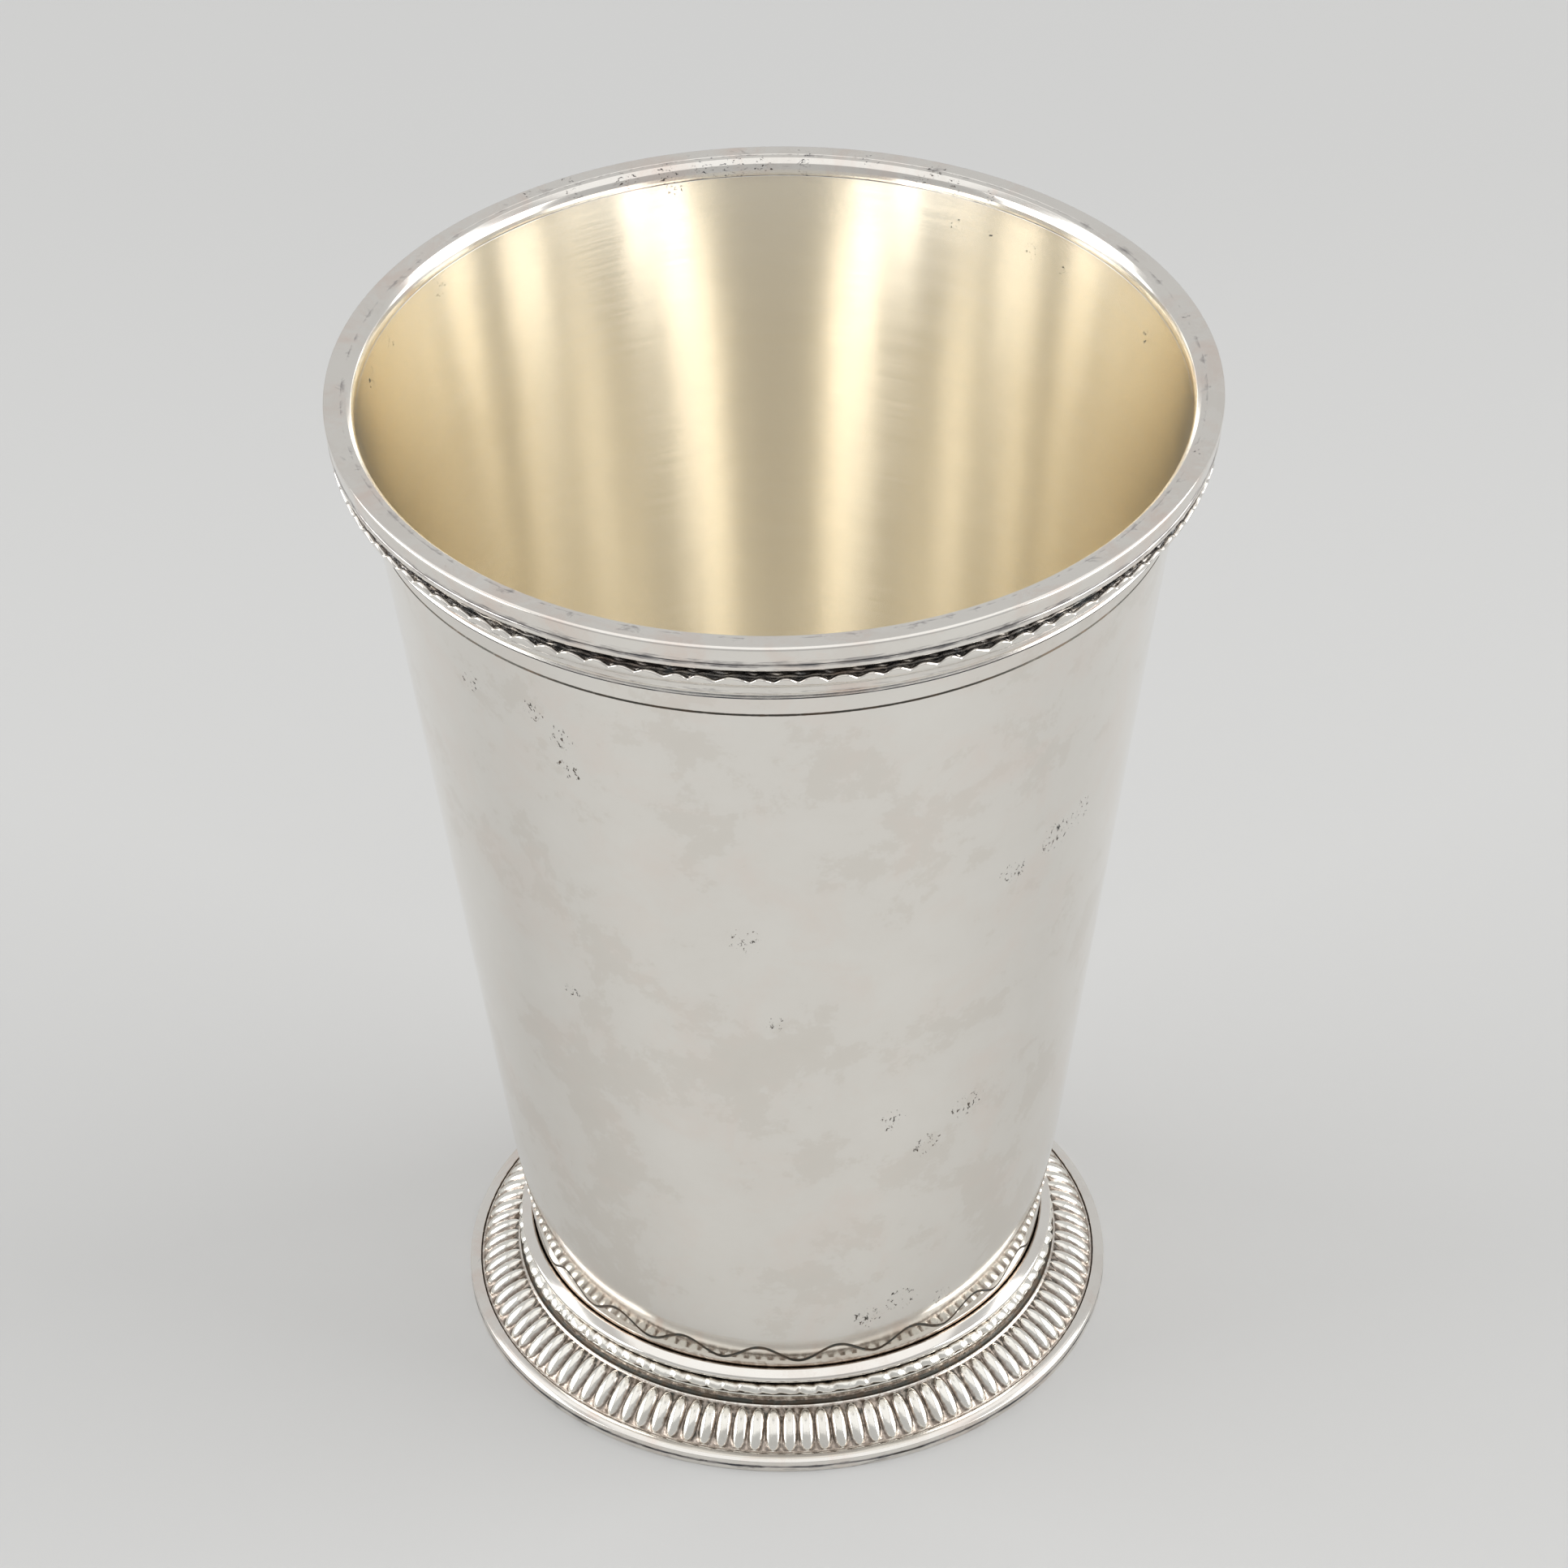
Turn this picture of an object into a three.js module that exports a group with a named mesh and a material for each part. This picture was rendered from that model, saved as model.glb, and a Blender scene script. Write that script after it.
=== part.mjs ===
// Silver beaker on a gadrooned foot. Millimetres, +Z up.
// The origin is the centre of the ring that the foot stands on.
import * as THREE from "three";

// Whole beaker
const height = 128;
const mouthRadius = 50; // outside of the rim
const footRadius = 38.65; // outside of the foot
const waistRadius = 30.8; // where the straight taper of the wall would meet the foot
const solder = 0.1; // film between two pieces that are soldered together
const columns = 60; // flats round every plain ring
const perLobe = 3; // steps across each lobe of a worked ring
const curveSteps = 3; // steps along each rounded corner

// Wall and bottom of the cup
const wall = {
  sheet: 0.6,
  tuck: 0.42, // the wall draws in this much below its taper at the foot
  tuckHeight: 10,
  flare: 1, // and opens this much beyond it at the mouth
  flareHeight: 21,
  liningFlare: 0.55, // the inside opens less, so the sheet thickens towards the mouth
  lineDrop: 12, // engraved line, below the mouth
  lineWidth: 0.35,
  lineDepth: 0.15,
};
const bottom = { sheet: 1.2, dome: 0.8, flatRadius: 24 };

// Flat-topped rim wire, seated on the wall's edge and on the collar
const rim = {
  projection: 2.55, // from the wall's top edge to the outer corner
  topWidth: 2.2,
  lip: 1.85, // height of the bare mouth above the wall's edge
  seat: 3.2, // height above the collar
  drip: 0.25, // the lower bead hangs this far past the seat
  batter: 0.5, // the outer face leans in this much
  bead: 0.7,
  corner: 0.2,
  innerCorner: 0.8, // width of the inner corner's curve
  innerDrop: 0.45, // and its height
};

// Collar band and the scalloped wire that it backs
const collar = { height: 5.6, thickness: 0.63, swell: 2.1, step: 0.4 }; // thickness at the top
const scallop = {
  count: 104,
  drop: 0.95, // below the collar's upper edge
  height: 1.9,
  depth: 1.3, // plain part, out from the collar
  relief: 0.5,
};

// Foot: square edge wire, gadrooned flange with its sleeve, rope wire, half-round wire
const edge = { width: 1.35, height: 1.75, corner: 0.35 };
const flange = {
  sheet: 0.95,
  sink: 0.1, // its rim lies this far below the top of the edge wire
  border: 0.25, // plain border between the gadroons and the edge wire
  shoulderWidth: 1.75, // from the sleeve to the face above the gadroons
  shoulderHeight: 6.15,
  shoulderDrop: 1.1,
  shoulderHollow: 0.15,
  sleeve: 1.1, // wall of the sleeve
  seatHeight: 8.5, // top of the sleeve, where the wall sits
  undercut: 1.1, // the underside's step out from the sleeve
};
const gadroon = { count: 112, relief: 0.6 };
const rope = { count: 90, height: 1.6, depth: 1.7, relief: 0.25 };
const baseRing = { height: 1.8, depth: 1.4, lift: 0.05 };

// Heights and radii that several pieces share
const wallBase = flange.seatHeight + solder;
const wallTop = height - rim.lip - solder;
const wallTopRadius = mouthRadius - rim.projection;
const collarTop = height - rim.seat - solder;
const collarBase = collarTop - collar.height;
const sleeveRadius = wallRadius(wallBase);
const edgeInnerRadius = footRadius - edge.width;
const ropeBase = flange.shoulderHeight + solder;
const ringBase = ropeBase + rope.height + baseRing.lift;
const ringTop = ringBase + baseRing.height;

// Outside of the wall: a straight taper that draws in at the foot and opens at the mouth.
function wallRadius(z) {
  const up = (z - wallBase) / (wallTop - wallBase);
  const low = Math.max(0, 1 - (z - wallBase) / wall.tuckHeight);
  const high = Math.max(0, 1 - (wallTop - z) / wall.flareHeight);
  const taper = (wallTopRadius - wall.flare - waistRadius) * up;
  return waistRadius + taper - wall.tuck * low * low + wall.flare * high * high;
}

function liningRadius(z) {
  const high = Math.max(0, 1 - (wallTop - z) / wall.flareHeight);
  return wallRadius(z) - wall.sheet - (wall.flare - wall.liningFlare) * high * high;
}

function collarRadius(z) {
  return wallRadius(z) + solder;
}

// One finish for each kind of surface: polished silver, oxidised ornament and gilding.
function silver(color, roughness) {
  return new THREE.MeshStandardMaterial({ color, roughness, metalness: 1 });
}

const group = new THREE.Group();

function addPiece(name, geometry, material) {
  const mesh = new THREE.Mesh(geometry, material);
  mesh.name = name;
  group.add(mesh);
}

// A plain ring or disc from a section in the radius and height plane.
function turned(section) {
  return new THREE.LatheGeometry(section, columns).rotateX(Math.PI / 2);
}

// A circle of points round the axis. Each point is moved by the relief, which depends on the angle.
function loop(radius, z, count, relief = () => [0, 0]) {
  const points = [];
  for (let i = 0; i < count; i++) {
    const angle = (2 * Math.PI * i) / count;
    const [out, up] = relief(angle);
    const r = radius + out;
    points.push(new THREE.Vector3(r * Math.cos(angle), r * Math.sin(angle), z + up));
  }
  return points;
}

// Skins a closed chain of loops. Neighbouring loops may have different counts:
// the walk goes round both and always takes the nearer next point.
function skinned(loops) {
  const starts = [];
  const positions = [];
  for (const points of loops) {
    starts.push(positions.length / 3);
    points.forEach((p) => positions.push(p.x, p.y, p.z));
  }
  const faces = [];
  loops.forEach((first, n) => {
    const m = (n + 1) % loops.length;
    const second = loops[m];
    const a = (i) => starts[n] + (i % first.length);
    const b = (j) => starts[m] + (j % second.length);
    let i = 0;
    let j = 0;
    while (i < first.length || j < second.length) {
      const firstIsNearer = (i + 1) * second.length <= (j + 1) * first.length;
      if (j === second.length || (i < first.length && firstIsNearer)) {
        faces.push(a(i), a(i + 1), b(j));
        i++;
      } else {
        faces.push(a(i), b(j + 1), b(j));
        j++;
      }
    }
  });
  const geometry = new THREE.BufferGeometry();
  geometry.setAttribute("position", new THREE.Float32BufferAttribute(positions, 3));
  geometry.setIndex(faces);
  geometry.computeVertexNormals();
  return geometry;
}

// Height of a rounded lobe, from 0 in the gap to 1 on the crest.
function lobe(angle, count) {
  const across = Math.abs(Math.sin((angle * count) / 2));
  return Math.sqrt(across);
}

// Up the outside with the engraved line, and down the inside.
function makeWall() {
  const lineZ = height - wall.lineDrop;
  const bendShares = [0, 1 / 3, 2 / 3, 1];
  const low = bendShares.map((share) => wallBase + wall.tuckHeight * share);
  const high = bendShares.map((share) => wallTop - wall.flareHeight * (1 - share));
  const outside = (z) => new THREE.Vector2(wallRadius(z), z);
  const inside = (z) => new THREE.Vector2(liningRadius(z), z);
  const line = [
    outside(lineZ - wall.lineWidth / 2),
    new THREE.Vector2(wallRadius(lineZ) - wall.lineDepth, lineZ),
    outside(lineZ + wall.lineWidth / 2),
  ];
  const rising = [...low, ...high];
  const outer = [...rising.map(outside), ...line].sort((a, b) => a.y - b.y);
  const inner = rising.map(inside).reverse();
  return turned([...outer, ...inner, outer[0]]);
}

// The disc follows the wall's taper at its edge and rises a little in the middle.
function makeBottom() {
  const top = wallBase + bottom.sheet;
  const inside = (z) => liningRadius(z) - solder;
  const section = new THREE.Path();
  section.moveTo(0, wallBase + bottom.dome);
  section.lineTo(bottom.flatRadius / 2, wallBase + bottom.dome);
  section.lineTo(bottom.flatRadius, wallBase);
  section.lineTo(inside(wallBase), wallBase);
  section.lineTo(inside(top), top);
  section.lineTo(bottom.flatRadius, top);
  section.lineTo(bottom.flatRadius / 2, top + bottom.dome);
  section.lineTo(0, top + bottom.dome);
  return turned(section.getPoints());
}

function makeRim() {
  const seatZ = collarTop + solder;
  const lipZ = wallTop + solder;
  const faceBase = seatZ - rim.drip + rim.bead;
  const faceRadius = mouthRadius - rim.batter;
  const topInner = mouthRadius - rim.topWidth;
  const lipEdge = topInner - rim.innerCorner;
  const lipRadius = liningRadius(wallTop);
  const collarOuter = collarRadius(collarTop) + collar.thickness;
  const section = new THREE.Path();
  section.moveTo(collarRadius(seatZ), seatZ);
  section.lineTo(collarOuter + solder, seatZ);
  section.lineTo(faceRadius - rim.bead, seatZ - rim.drip);
  section.quadraticCurveTo(faceRadius, seatZ - rim.drip, faceRadius, faceBase);
  section.lineTo(mouthRadius, height - rim.corner);
  section.quadraticCurveTo(mouthRadius, height, mouthRadius - rim.corner, height);
  section.lineTo(topInner, height);
  section.quadraticCurveTo(lipEdge, height, lipEdge, height - rim.innerDrop);
  section.lineTo(lipRadius, lipZ);
  section.lineTo(collarRadius(lipZ), lipZ);
  section.closePath();
  return turned(section.getPoints(curveSteps));
}

function makeCollar() {
  const inner = (z) => collarRadius(z);
  const swellTop = collarBase + collar.swell;
  const outerTop = collarRadius(collarTop) + collar.thickness;
  const section = new THREE.Path();
  section.moveTo(inner(collarBase), collarBase);
  section.lineTo(inner(collarBase) + collar.step, collarBase);
  section.quadraticCurveTo(outerTop, collarBase + collar.step, outerTop, swellTop);
  section.lineTo(outerTop, collarTop);
  section.lineTo(inner(collarTop), collarTop);
  section.closePath();
  return turned(section.getPoints(curveSteps));
}

// Half-round wire whose outer side rises and falls in rounded lobes.
function lobedWire({ inner, base, tall, depth, count, relief, lean }) {
  const round = count * perLobe;
  const swing = (share) => (angle) => {
    const amount = relief * share * lobe(angle, count);
    return [amount, amount * lean];
  };
  const cheekShare = 0.6;
  const cheekHeightShare = 0.3;
  return skinned([
    loop(inner, base, count),
    loop(inner + depth, base + tall * cheekHeightShare, round, swing(cheekShare)),
    loop(inner + depth, base + tall * (1 - cheekHeightShare), round, swing(1)),
    loop(inner, base + tall, count),
  ]);
}

function makeScallops() {
  return lobedWire({
    inner: collarRadius(collarTop) + collar.thickness + solder,
    base: collarTop - scallop.drop - scallop.height,
    tall: scallop.height,
    depth: scallop.depth,
    count: scallop.count,
    relief: scallop.relief,
    lean: 1,
  });
}

function makeRope() {
  return lobedWire({
    inner: sleeveRadius + solder,
    base: ropeBase,
    tall: rope.height,
    depth: rope.depth,
    count: rope.count,
    relief: rope.relief,
    lean: 0,
  });
}

function makeBaseRing() {
  const inner = wallRadius(ringTop) + solder;
  const outer = inner + baseRing.depth;
  const section = new THREE.Path();
  section.moveTo(inner, ringBase);
  section.lineTo(outer - baseRing.depth / 2, ringBase);
  section.quadraticCurveTo(outer, ringBase, outer, ringBase + baseRing.height / 2);
  section.quadraticCurveTo(outer, ringTop, outer - baseRing.depth / 2, ringTop);
  section.lineTo(inner, ringTop);
  section.closePath();
  return turned(section.getPoints(curveSteps));
}

// The flange runs from the sleeve over the shoulder and the gadroons to the edge wire.
function makeFlange() {
  const outer = edgeInnerRadius - solder;
  const borderZ = edge.height - flange.sink;
  const shoulder = sleeveRadius + flange.shoulderWidth;
  const gadroonTop = flange.shoulderHeight - flange.shoulderDrop;
  const from = new THREE.Vector2(shoulder, gadroonTop);
  const to = new THREE.Vector2(outer - flange.border, borderZ);
  const slope = to.clone().sub(from).normalize();
  const normal = new THREE.Vector2(-slope.y, slope.x);
  const lobeRow = (share) => {
    const at = from.clone().lerp(to, share);
    const swell = Math.sqrt(Math.sin(Math.PI * share));
    return loop(at.x, at.y, gadroon.count * perLobe, (angle) => {
      const amount = gadroon.relief * swell * lobe(angle, gadroon.count);
      return [normal.x * amount, normal.y * amount];
    });
  };
  const plain = (radius, z) => loop(radius, z, gadroon.count);
  const under = (radius, z) => loop(radius, z, columns);
  const sleeveInner = sleeveRadius - flange.sleeve;
  const lobeEndShare = 0.14;
  return skinned([
    under(sleeveInner, flange.seatHeight),
    under(sleeveInner, gadroonTop - flange.sheet),
    under(sleeveInner + flange.undercut, gadroonTop - flange.sheet),
    under(to.x - flange.sheet / 2, borderZ - flange.sheet),
    under(outer, borderZ - flange.sheet),
    plain(outer, borderZ),
    plain(to.x, to.y),
    lobeRow(1 - lobeEndShare),
    lobeRow(1 / 2),
    lobeRow(lobeEndShare),
    plain(from.x, from.y),
    plain(shoulder - flange.shoulderHollow, (gadroonTop + flange.shoulderHeight) / 2),
    plain(shoulder, flange.shoulderHeight),
    under(sleeveRadius, flange.shoulderHeight),
    under(sleeveRadius, flange.seatHeight),
  ]);
}

function makeEdge() {
  const section = new THREE.Path();
  section.moveTo(edgeInnerRadius, 0);
  section.lineTo(footRadius, 0);
  section.lineTo(footRadius, edge.height - edge.corner);
  section.quadraticCurveTo(footRadius, edge.height, footRadius - edge.corner, edge.height);
  section.lineTo(edgeInnerRadius, edge.height);
  section.closePath();
  return turned(section.getPoints(curveSteps));
}

addPiece("cup_wall", makeWall(), silver(0xc6c3bb, 0.3));
addPiece("cup_bottom", makeBottom(), silver(0xcdb98c, 0.3));
addPiece("mouth_rim", makeRim(), silver(0xc4bdb5, 0.35));
addPiece("collar_band", makeCollar(), silver(0xbfb8ae, 0.3));
addPiece("scallop_wire", makeScallops(), silver(0xd8d4ca, 0.2));
addPiece("base_ring", makeBaseRing(), silver(0xd2cdc4, 0.15));
addPiece("rope_wire", makeRope(), silver(0xcfc8bc, 0.2));
addPiece("foot_flange", makeFlange(), silver(0xbdb7aa, 0.25));
addPiece("foot_edge", makeEdge(), silver(0xc9c4bb, 0.25));

export default group;
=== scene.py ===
# Silver beaker, gilt inside, on a gadrooned foot: the looks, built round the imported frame.
import math
import bpy
import numpy as np
from mathutils import Matrix, Vector


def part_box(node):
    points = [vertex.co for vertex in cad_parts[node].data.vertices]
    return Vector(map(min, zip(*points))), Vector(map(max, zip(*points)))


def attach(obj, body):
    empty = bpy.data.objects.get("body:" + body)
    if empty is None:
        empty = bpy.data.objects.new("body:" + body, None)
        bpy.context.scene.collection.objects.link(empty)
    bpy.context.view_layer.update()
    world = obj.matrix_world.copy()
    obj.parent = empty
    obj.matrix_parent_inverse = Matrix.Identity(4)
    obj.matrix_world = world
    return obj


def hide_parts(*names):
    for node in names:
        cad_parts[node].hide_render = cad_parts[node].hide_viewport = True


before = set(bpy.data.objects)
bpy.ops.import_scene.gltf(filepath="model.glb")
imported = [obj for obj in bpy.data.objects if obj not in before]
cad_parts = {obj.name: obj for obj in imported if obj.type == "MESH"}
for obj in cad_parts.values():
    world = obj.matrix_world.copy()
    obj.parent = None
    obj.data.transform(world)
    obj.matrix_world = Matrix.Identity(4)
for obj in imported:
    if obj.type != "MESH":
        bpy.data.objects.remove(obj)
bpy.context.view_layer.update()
scene = bpy.context.scene
mm = 0.001
print("frame loaded:", len(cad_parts), "nodes")


# Small tools

def hexColour(code):
    # sRGB hex to linear RGBA
    parts = [int(code[i:i + 2], 16) / 255 for i in (0, 2, 4)]
    return [c / 12.92 if c <= 0.04045 else ((c + 0.055) / 1.055) ** 2.4 for c in parts] + [1]


def addNode(tree, kind, links=None, **settings):
    # a node with its settings and links; links go by name, or in order, to a node, a socket or a plain value
    node = tree.nodes.new(kind)
    for name, value in settings.items():
        setattr(node, name, value)
    for key, value in links.items() if isinstance(links, dict) else enumerate(links or ()):
        if isinstance(value, bpy.types.Node):
            value = value.outputs[0]
        if isinstance(value, bpy.types.NodeSocket):
            tree.links.new(value, node.inputs[key])
        else:
            node.inputs[key].default_value = value
    return node


def nodeRadius(node, height, within=0.02):
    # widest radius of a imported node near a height, in mm
    points = np.empty(len(node.data.vertices) * 3)
    node.data.vertices.foreach_get("co", points)
    points = points.reshape(-1, 3) / mm
    near = np.abs(points[:, 2] - height) < within
    return float(np.hypot(points[near, 0], points[near, 1]).max())


def heights(name):
    low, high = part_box(name)
    return low.z / mm, high.z / mm


def outerRadius(name):
    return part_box(name)[1].x / mm


def meshPiece(name, points, faces, materials, **attributes):
    # a mesh object from points in mm, smooth, with one float attribute per extra argument
    mesh = bpy.data.meshes.new(name)
    mesh.from_pydata((np.asarray(points) * mm).tolist(), [], faces)
    for material in materials:
        mesh.materials.append(material)
    for key, values in attributes.items():
        mesh.attributes.new(key, "FLOAT", "POINT").data.foreach_set("value", np.asarray(values, float))
    mesh.shade_smooth()
    mesh.validate()
    piece = bpy.data.objects.new(name, mesh)
    scene.collection.objects.link(piece)
    return piece


def ringFaces(rows, columns, closed=True):
    # quads between rows of points that each go once round
    faces = []
    for row in range(rows if closed else rows - 1):
        above = (row + 1) % rows
        for col in range(columns):
            beside = (col + 1) % columns
            faces.append((row * columns + col, row * columns + beside,
                          above * columns + beside, above * columns + col))
    return faces


def ringPoints(section, columns):
    # section: (radius, height) pairs in mm, walked up the outside and down the inside
    angle = np.linspace(0, 2 * math.pi, columns, endpoint=False)
    rows = [np.stack([r * np.cos(angle), r * np.sin(angle), np.full(columns, z)], 1) for r, z in section]
    return np.concatenate(rows)


def newTree(name, inputs):
    # a Geometry Nodes tree with one geometry in, one out, and named number inputs
    tree = bpy.data.node_groups.new(name, "GeometryNodeTree")
    tree.interface.new_socket("Geometry", in_out="INPUT", socket_type="NodeSocketGeometry")
    for key, value in inputs.items():
        kind = "NodeSocketInt" if isinstance(value, int) else "NodeSocketFloat"
        tree.interface.new_socket(key, in_out="INPUT", socket_type=kind).default_value = value
    tree.interface.new_socket("Geometry", in_out="OUTPUT", socket_type="NodeSocketGeometry")
    return tree, addNode(tree, "NodeGroupInput")


def closeTree(tree, geometry, material=None):
    # ends a tree: instances made real, material set
    real = addNode(tree, "GeometryNodeRealizeInstances", {"Geometry": geometry})
    if material:
        real = addNode(tree, "GeometryNodeSetMaterial", {"Geometry": real, "Material": material})
    addNode(tree, "NodeGroupOutput", {"Geometry": real})


def bakeTree(piece, tree, inputs):
    # runs the tree on the piece with these inputs and keeps the result as a plain mesh
    modifier = piece.modifiers.new(tree.name, "NODES")
    modifier.node_group = tree
    for item in tree.interface.items_tree:
        if item.in_out == "INPUT" and item.name in inputs:
            modifier[item.identifier] = inputs[item.name]
    graph = bpy.context.evaluated_depsgraph_get()
    made = bpy.data.meshes.new_from_object(piece.evaluated_get(graph), depsgraph=graph)
    piece.modifiers.remove(modifier)
    piece.data = made
    made.shade_smooth()


def finishPiece(piece, node):
    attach(piece, "root")
    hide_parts(node)
    print("made", piece.name, len(piece.data.polygons), "faces")


# Camera and stage

def makeCamera():
    # from the ellipses of the rim and the foot in the photograph
    view = {"distance": 618.15, "height": 542.1, "pitch": 37.234, "yaw": 0.045, "roll": -0.853,
            "focalPixels": 8261.4, "photoPixels": 1932, "sensor": 36}
    pitch, yaw, roll = (math.radians(view[key]) for key in ("pitch", "yaw", "roll"))
    ahead = Vector((math.sin(yaw) * math.cos(pitch), math.cos(yaw) * math.cos(pitch), -math.sin(pitch)))
    right = Vector((math.cos(yaw), -math.sin(yaw), 0))
    turn = Matrix.Rotation(-roll, 3, ahead)
    right, up = turn @ right, turn @ right.cross(ahead)
    data = bpy.data.cameras.new("camera")
    data.sensor_width = view["sensor"]
    data.lens = view["sensor"] * view["focalPixels"] / view["photoPixels"]
    data.clip_start, data.clip_end = 0.01, 50
    camera = bpy.data.objects.new("camera", data)
    place = Vector((0, -view["distance"], view["height"])) * mm
    camera.matrix_world = Matrix.Translation(place) @ Matrix((right, up, -ahead)).transposed().to_4x4()
    scene.collection.objects.link(camera)
    scene.camera = camera


def makeFloor():
    # matt pale paper, with painted light: its colour runs a little paler towards the front, standing in for
    # the brighter light that falls there
    paper = {"half": 4.0, "back": "c9c9c8", "front": "d1d1d0", "backFrom": 0.25, "frontFrom": 0.0,
             "roughness": 0.9}
    material = bpy.data.materials.new("mattPaper")
    material.use_nodes = True
    shader = material.node_tree.nodes["Principled BSDF"]
    tree = material.node_tree
    place = addNode(tree, "ShaderNodeSeparateXYZ", (addNode(tree, "ShaderNodeTexCoord").outputs["Object"],))
    depth = addNode(tree, "ShaderNodeMapRange", {"Value": place.outputs["Y"], "From Min": paper["frontFrom"],
                                                 "From Max": paper["backFrom"]})
    # painted light: the paper's colour brightens towards the front
    shade = addNode(tree, "ShaderNodeMix", {"Factor": depth, "A": hexColour(paper["front"]),
                                            "B": hexColour(paper["back"])}, data_type="RGBA")
    tree.links.new(shade.outputs[2], shader.inputs["Base Color"])
    shader.inputs["Roughness"].default_value = paper["roughness"]
    shader.inputs["Specular IOR Level"].default_value = 0
    half = paper["half"]
    mesh = bpy.data.meshes.new("floor")
    corners = [(-half, -half, 0), (half, -half, 0), (half, half, 0), (-half, half, 0)]
    mesh.from_pydata(corners, [], [(0, 1, 2, 3)])
    mesh.materials.append(material)
    floor = bpy.data.objects.new("floor", mesh)
    scene.collection.objects.link(floor)


def softbox(place, turn, size, strength):
    data = bpy.data.lights.new("softbox", "AREA")
    data.shape = "RECTANGLE"
    data.size, data.size_y = size
    data.energy = strength * math.pi * size[0] * size[1]
    lamp = bpy.data.objects.new("softbox", data)
    lamp.location = place
    lamp.rotation_euler = turn
    lamp.visible_camera = False
    scene.collection.objects.link(lamp)


def makeLights():
    # a pale grey room, paler behind the beaker, with large softboxes left, right and overhead
    light = {"back": 0.61, "front": 0.51, "reach": 0.8, "distance": 1.3, "wide": 1.25, "tall": 1.1,
             "middle": 0.72, "left": 2.4, "right": 3.0, "overheadHeight": 1.7, "overheadSize": 2.5,
             "overhead": 0.48}
    world = bpy.data.worlds.new("greyRoom")
    world.use_nodes = True
    tree = world.node_tree
    way = addNode(tree, "ShaderNodeSeparateXYZ", (addNode(tree, "ShaderNodeTexCoord").outputs["Generated"],))
    level = addNode(tree, "ShaderNodeMapRange", {
        "Value": way.outputs["Y"], "From Min": -light["reach"], "From Max": light["reach"],
        "To Min": light["front"], "To Max": light["back"]})
    tree.links.new(level.outputs[0], tree.nodes["Background"].inputs["Strength"])
    tree.nodes["Background"].inputs["Color"].default_value = (1, 1, 1, 1)
    scene.world = world
    quarter = math.radians(90)
    for side, strength in ((-1, light["left"]), (1, light["right"])):
        softbox((side * light["distance"], 0, light["middle"]), (quarter, 0, side * quarter),
                (light["wide"], light["tall"]), strength)
    softbox((0, 0, light["overheadHeight"]), (0, 0, 0), (light["overheadSize"],) * 2, light["overhead"])


scene.view_settings.view_transform = "Standard"
scene.cycles.max_bounces = 16  # light bounces many times between the mirror walls inside the cup
scene.cycles.glossy_bounces = 12
makeCamera()
makeFloor()
makeLights()
print("camera, floor and lights made")


# Metals

def spotMask(tree, coords, spots):
    # 1 over the middle of each spot, 0 at its edge and beyond; spots are (x, y, z, radius) in mm
    total, slope = 0.0, 2.5  # a slope of 2.5 gives a flat middle, six tenths of the spot across
    for x, y, z, radius in spots:
        away = addNode(tree, "ShaderNodeVectorMath", (coords, (x * mm, y * mm, z * mm)), operation="DISTANCE")
        near = addNode(tree, "ShaderNodeMapRange", {"Value": away.outputs["Value"], "From Max": radius * mm,
                                                    "To Min": slope, "To Max": 0})
        total = addNode(tree, "ShaderNodeMath", (total, near), operation="MAXIMUM")
    return addNode(tree, "ShaderNodeMath", (total, 1.0), operation="MINIMUM")


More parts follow.
